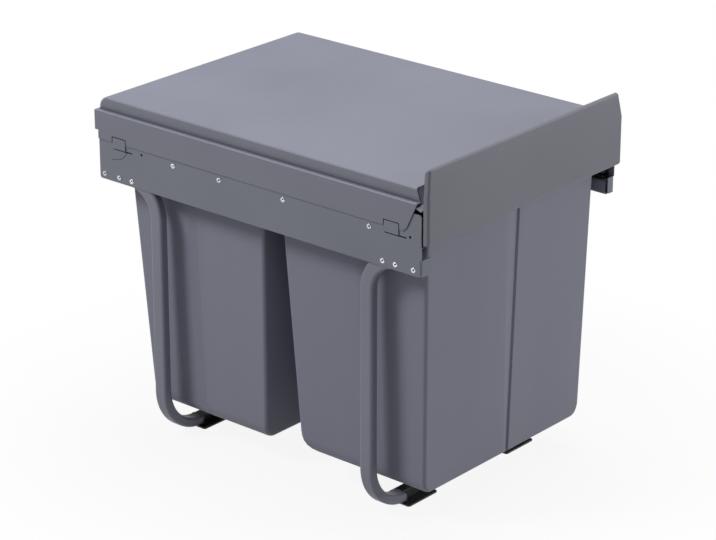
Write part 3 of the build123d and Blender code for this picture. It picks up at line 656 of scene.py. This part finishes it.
for side, outwards in (("left", -1), ("right", 1)):
    for end, way in (("front", -1), ("rear", 1)):
        node = f"{side}_{end}_leg"
        low, high = [[part / MM for part in corner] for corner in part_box(node)]
        outer_x, foot_x = (low[0], high[0]) if outwards < 0 else (high[0], low[0])
        arm_y, leg_y = (low[1], high[1]) if way < 0 else (high[1], low[1])
        leg_x = outer_x - outwards * tube_thick / 2
        leg_y = leg_y + way * tube_wide / 2
        arm_z = high[2] - tube_wide / 2
        foot_z = low[2] + tube_thick / 2
        corners = [(leg_x, arm_y, arm_z), (leg_x, leg_y, arm_z)]
        corners += [(leg_x, leg_y, foot_z), (foot_x, leg_y, foot_z)]
        leg = new_piece(f"{node}_tube", corners, [])
        leg.data.edges.add(len(corners) - 1)
        leg.data.edges.foreach_set("vertices", leg_route)
        sizes = {"Middle height": (arm_z + foot_z) / 2, "Thick": tube_thick, "Wide": tube_wide}
        bent_tube.run(leg, {**sizes, "Corner": tube_corner, **bend_radii})
        wall = leg.modifiers.new("wall", "SOLIDIFY")
        wall.thickness = tube_wall * MM
        wall.offset = -1.0
        soften(leg, leg_edge)
        stand_for(leg, node)
        size = [round(part / MM, 2) for part in leg.dimensions]
        print(node, "swept", size, "packed", [round(b - a, 2) for a, b in zip(low, high)])

# %% [markdown]
# ## Rivets
#
# The panels are joined to the legs and the slides with blind rivets. A pulled blind rivet
# leaves a ring round a bore: the ring rises steeply outside and runs down into the bore as
# a bright funnel, and the broken mandrel sits dark at its bottom, with shade painted there
# too. Twenty rivets are alike, so one is made and placed on every point of a row. The rows
# are read from the packed rivets, one point for each loose solid.

# %% Rivets by a plan
ring_radius, ring_half_width, ring_half_height, ring_tilt = 1.95, 1.15, 0.75, -30.0
shank_radius, tail_radius, rivet_head, bore_floor = 1.9, 2.1, 1.1, 0.7
ring_steps, section_steps, shank_steps = 32, 14, 20
rivet_tails = {"leg_rivets": 1.6, "slide_rivets": 0.2}
rivet_edge = 0.12


def islands(node):
    """The lowest and highest corner of each loose solid of a node, in millimetres.

    They are sorted, because a set gives up its vertices in no fixed order.
    """
    shape = bmesh.new()
    shape.from_mesh(nodes[node].data)
    bmesh.ops.remove_doubles(shape, verts=shape.verts, dist=weld_distance * MM)
    left, found = set(shape.verts), []
    while left:
        ahead, group = [left.pop()], []
        while ahead:
            vertex = ahead.pop()
            group.append(vertex.co / MM)
            linked = {edge.other_vert(vertex) for edge in vertex.link_edges} & left
            left -= linked
            ahead += linked
        found.append([[pick(v[axis] for v in group) for axis in range(3)] for pick in (min, max)])
    shape.free()
    return sorted(found)


def barrel(plan, radius, top, depth):
    """A closed round bar that hangs down from a height."""
    sockets = {"Vertices": shank_steps, "Radius": radius, "Depth": depth}
    bar = plan.node("GeometryNodeMeshCylinder", {}, sockets)
    place = plan.node("ShaderNodeCombineXYZ", {}, {"Z": top - depth * 0.5})
    return plan.node("GeometryNodeTransform", {}, {"Geometry": bar, "Translation": place})


blind_rivet = Plan("blind_rivet")
circle = {"Resolution": ring_steps, "Radius": ring_radius * MM}
path = blind_rivet.node("GeometryNodeCurvePrimitiveCircle", {}, circle)
circle = {"Resolution": section_steps, "Radius": MM}
section = blind_rivet.node("GeometryNodeCurvePrimitiveCircle", {}, circle)
squash = (ring_half_width, ring_half_height, 1.0)
tilt = (0.0, 0.0, math.radians(ring_tilt))
squashed = {"Geometry": section, "Scale": squash, "Rotation": tilt}
section = blind_rivet.node("GeometryNodeTransform", {}, squashed)
ring = blind_rivet.node("GeometryNodeCurveToMesh", {}, {"Curve": path, "Profile Curve": section})
reach = blind_rivet.length("Reach")
tail = blind_rivet.length("Tail")
floor_level = -bore_floor * MM
shank = barrel(blind_rivet, shank_radius * MM, floor_level, reach - bore_floor * MM)
upset = barrel(blind_rivet, tail_radius * MM, -1.0 * (reach - tail), tail)
# The bore floor and shank are marked, for the painted shade and the dark mandrel
marked = {"Geometry": shank, "Name": "bore", "Value": 1.0}
shank = blind_rivet.node("GeometryNodeStoreNamedAttribute", {"data_type": "FLOAT"}, marked)
form = blind_rivet.node("GeometryNodeJoinGeometry", {}, {})
for part in (ring, shank, upset):
    blind_rivet.feed(form.socket.node.inputs[0], part)
left_hand = blind_rivet.node(
    "FunctionNodeCompare", {"operation": "LESS_THAN"}, {0: blind_rivet.place_of("X"), 1: 0.0}
)
turn = blind_rivet.either(left_hand, -math.pi / 2, math.pi / 2)
turned = blind_rivet.node("ShaderNodeCombineXYZ", {}, {"Y": turn})
row = {"Points": blind_rivet.given, "Instance": form, "Rotation": turned}
blind_rivet.ends_in(blind_rivet.node("GeometryNodeInstanceOnPoints", {}, row), "rivet_metal")

for node, tail_length in rivet_tails.items():
    points, reach_length = [], 0
    for low, high in islands(node):
        hand = -1 if low[0] < 0 else 1
        outer = low[0] if hand < 0 else high[0]
        points.append((outer - hand * rivet_head, (low[1] + high[1]) / 2, (low[2] + high[2]) / 2))
        reach_length = high[0] - low[0] - rivet_head
    rivets = new_piece(f"{node}_set", points, [])
    blind_rivet.run(rivets, {"Reach": reach_length, "Tail": tail_length})
    soften(rivets, rivet_edge)
    stand_for(rivets, node)
    print(node, len(points), "size", [round(part / MM, 2) for part in rivets.dimensions])

# %% [markdown]
# ## Cages and balls
#
# The ball cages and the balls lie deep in the slides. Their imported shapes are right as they
# are, so they only take their finish: rolled strip for the cages, polished steel for the
# balls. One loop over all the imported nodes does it. The nodes that a finished piece stands
# for are hidden, and take theirs too, because a list of exceptions would be longer.

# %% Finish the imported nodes
for name, packed in nodes.items():
    packed.data.materials.clear()
    packed.data.materials.append(finishes[slot_of[name]])
print("dressed", len(nodes), "nodes")

# %% [markdown]
# ## Size of the scene
#
# A finished piece must not stick out of the imported model's box, or a buyer's cabinet would
# be too small for the picture. The box of everything shown is printed.

# %% Size of the scene
low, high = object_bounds()
print("visual box", [round(v, 4) for v in (*low, *high)])
